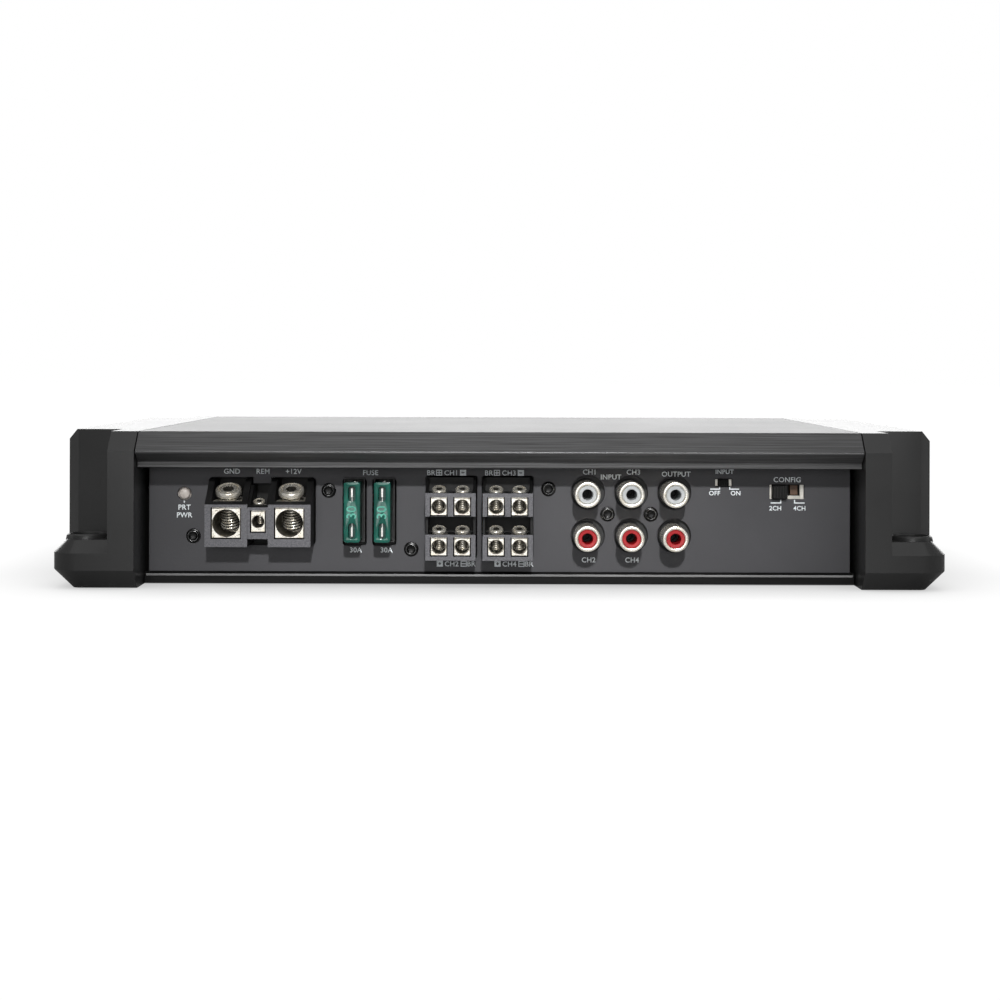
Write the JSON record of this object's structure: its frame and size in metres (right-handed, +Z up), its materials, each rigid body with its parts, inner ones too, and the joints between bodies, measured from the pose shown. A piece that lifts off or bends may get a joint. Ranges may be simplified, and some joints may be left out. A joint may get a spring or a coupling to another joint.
{
  "type": "car amplifier",
  "caption": "Multi-channel car amplifier with extruded heatsink, footed end caps, screw terminals, blade fuses, signal jacks, slide switches and level controls.",
  "frame": {"origin": "centre of the amplifier's footprint on the surface it stands on", "axes": "+X along the width (to the right, facing the terminals), +Y from the terminals to the control side, +Z up"},
  "size_m": [0.282, 0.178, 0.0495],
  "materials": {
    "anodised_black": "brushed black anodised extrusion, bright bevel edges",
    "moulded_black": "fine-grained black moulding",
    "panel_black": "satin dark grey paint",
    "base_steel": "satin black with worn bright edge",
    "board_green": "solder-masked laminate",
    "copper_winding": "enamelled copper winding",
    "capacitor_sleeve": "shrink sleeve over can",
    "terminal_grey": "spark-eroded dark grey moulding",
    "nickel_plate": "nickel plating over brass",
    "fuse_green": "translucent green",
    "socket_black": "plain black moulding",
    "jack_plastic": "white and red moulded insulators",
    "indicator_lens": "diffused clear lens"
  },
  "bodies": {
    "amplifier": {"heatsink_shell": "anodised_black", "base_plate": "base_steel", "end_cap_left": "moulded_black", "end_cap_right": "moulded_black", "terminal_panel": "panel_black", "control_panel": "panel_black", "circuit_board": "board_green", "power_transformer": "copper_winding", "capacitor_left": "capacitor_sleeve", "capacitor_right": "capacitor_sleeve", "transistor_bar_front": "base_steel", "transistor_bar_rear": "base_steel", "power_terminal_block": "terminal_grey", "lug_ground": "nickel_plate", "lug_battery": "nickel_plate", "lug_remote": "nickel_plate", "speaker_block_a": "terminal_grey", "speaker_block_b": "terminal_grey", "fuse_socket_left": "socket_black", "fuse_socket_right": "socket_black", "jack_block": "jack_plastic", "status_led": "indicator_lens", "input_switch_body": "socket_black", "config_switch_body": "socket_black", "control_board": "board_green", "speaker_lug_a_lower_left": "nickel_plate", "speaker_lug_a_upper_left": "nickel_plate", "speaker_lug_a_lower_right": "nickel_plate", "speaker_lug_a_upper_right": "nickel_plate", "speaker_lug_b_lower_left": "nickel_plate", "speaker_lug_b_upper_left": "nickel_plate", "speaker_lug_b_lower_right": "nickel_plate", "speaker_lug_b_upper_right": "nickel_plate", "jack_sleeve_lower_1": "nickel_plate", "jack_sleeve_upper_1": "nickel_plate", "jack_sleeve_lower_2": "nickel_plate", "jack_sleeve_upper_2": "nickel_plate", "jack_sleeve_lower_3": "nickel_plate", "jack_sleeve_upper_3": "nickel_plate"},
    "input_switch": {"input_switch_knob": "socket_black"},
    "config_switch": {"config_switch_knob": "socket_black"},
    "fuse_left_body": {"fuse_left": "fuse_green"},
    "fuse_right_body": {"fuse_right": "fuse_green"},
    "screw_ground_body": {"screw_ground": "nickel_plate"},
    "screw_remote_body": {"screw_remote": "nickel_plate"},
    "screw_battery_body": {"screw_battery": "nickel_plate"},
    "speaker_screw_a_lower_left_body": {"speaker_screw_a_lower_left": "nickel_plate"},
    "speaker_screw_a_upper_left_body": {"speaker_screw_a_upper_left": "nickel_plate"},
    "speaker_screw_a_lower_right_body": {"speaker_screw_a_lower_right": "nickel_plate"},
    "speaker_screw_a_upper_right_body": {"speaker_screw_a_upper_right": "nickel_plate"},
    "speaker_screw_b_lower_left_body": {"speaker_screw_b_lower_left": "nickel_plate"},
    "speaker_screw_b_upper_left_body": {"speaker_screw_b_upper_left": "nickel_plate"},
    "speaker_screw_b_lower_right_body": {"speaker_screw_b_lower_right": "nickel_plate"},
    "speaker_screw_b_upper_right_body": {"speaker_screw_b_upper_right": "nickel_plate"},
    "gain_knob_1_body": {"gain_knob_1": "socket_black"},
    "crossover_knob_1_body": {"crossover_knob_1": "socket_black"},
    "crossover_knob_2_body": {"crossover_knob_2": "socket_black"},
    "gain_knob_2_body": {"gain_knob_2": "socket_black"},
    "filter_switch_1": {"filter_switch_knob_1": "socket_black"},
    "filter_switch_2": {"filter_switch_knob_2": "socket_black"}
  },
  "joints": [
    {"name": "input_switch_travel", "type": "slide", "parent": "amplifier", "child": "input_switch", "axis": [1, 0, 0], "range_m": [0, 0.0017]},
    {"name": "config_switch_travel", "type": "slide", "parent": "amplifier", "child": "config_switch", "axis": [1, 0, 0], "range_m": [0, 0.0055]},
    {"name": "fuse_left_pull", "type": "slide", "parent": "amplifier", "child": "fuse_left_body", "axis": [0, -1, 0], "range_m": [0, 0.025]},
    {"name": "fuse_right_pull", "type": "slide", "parent": "amplifier", "child": "fuse_right_body", "axis": [0, -1, 0], "range_m": [0, 0.025]},
    {"name": "screw_ground_clamp", "type": "slide", "parent": "amplifier", "child": "screw_ground_body", "axis": [0, -0.4226, 0.9063], "range_m": [0, 0.005]},
    {"name": "screw_remote_clamp", "type": "slide", "parent": "amplifier", "child": "screw_remote_body", "axis": [0, -0.4226, 0.9063], "range_m": [0, 0.002]},
    {"name": "screw_battery_clamp", "type": "slide", "parent": "amplifier", "child": "screw_battery_body", "axis": [0, -0.4226, 0.9063], "range_m": [0, 0.005]},
    {"name": "speaker_screw_a_lower_left_clamp", "type": "slide", "parent": "amplifier", "child": "speaker_screw_a_lower_left_body", "axis": [0, -0.4226, 0.9063], "range_m": [0, 0.0022]},
    {"name": "speaker_screw_a_upper_left_clamp", "type": "slide", "parent": "amplifier", "child": "speaker_screw_a_upper_left_body", "axis": [0, -0.4226, 0.9063], "range_m": [0, 0.0022]},
    {"name": "speaker_screw_a_lower_right_clamp", "type": "slide", "parent": "amplifier", "child": "speaker_screw_a_lower_right_body", "axis": [0, -0.4226, 0.9063], "range_m": [0, 0.0022]},
    {"name": "speaker_screw_a_upper_right_clamp", "type": "slide", "parent": "amplifier", "child": "speaker_screw_a_upper_right_body", "axis": [0, -0.4226, 0.9063], "range_m": [0, 0.0022]},
    {"name": "speaker_screw_b_lower_left_clamp", "type": "slide", "parent": "amplifier", "child": "speaker_screw_b_lower_left_body", "axis": [0, -0.4226, 0.9063], "range_m": [0, 0.0022]},
    {"name": "speaker_screw_b_upper_left_clamp", "type": "slide", "parent": "amplifier", "child": "speaker_screw_b_upper_left_body", "axis": [0, -0.4226, 0.9063], "range_m": [0, 0.0022]},
    {"name": "speaker_screw_b_lower_right_clamp", "type": "slide", "parent": "amplifier", "child": "speaker_screw_b_lower_right_body", "axis": [0, -0.4226, 0.9063], "range_m": [0, 0.0022]},
    {"name": "speaker_screw_b_upper_right_clamp", "type": "slide", "parent": "amplifier", "child": "speaker_screw_b_upper_right_body", "axis": [0, -0.4226, 0.9063], "range_m": [0, 0.0022]},
    {"name": "gain_knob_1_turn", "type": "hinge", "parent": "amplifier", "child": "gain_knob_1_body", "pos_m": [-0.06, 0.0718, 0.022], "axis": [0, 1, 0], "range_deg": [-150, 150]},
    {"name": "crossover_knob_1_turn", "type": "hinge", "parent": "amplifier", "child": "crossover_knob_1_body", "pos_m": [-0.034, 0.0718, 0.022], "axis": [0, 1, 0], "range_deg": [-150, 150]},
    {"name": "crossover_knob_2_turn", "type": "hinge", "parent": "amplifier", "child": "crossover_knob_2_body", "pos_m": [0.034, 0.0718, 0.022], "axis": [0, 1, 0], "range_deg": [-150, 150]},
    {"name": "gain_knob_2_turn", "type": "hinge", "parent": "amplifier", "child": "gain_knob_2_body", "pos_m": [0.06, 0.0718, 0.022], "axis": [0, 1, 0], "range_deg": [-150, 150]},
    {"name": "filter_switch_1_travel", "type": "slide", "parent": "amplifier", "child": "filter_switch_1", "axis": [1, 0, 0], "range_m": [-0.0022, 0.0022]},
    {"name": "filter_switch_2_travel", "type": "slide", "parent": "amplifier", "child": "filter_switch_2", "axis": [1, 0, 0], "range_m": [-0.0022, 0.0022]}
  ]
}
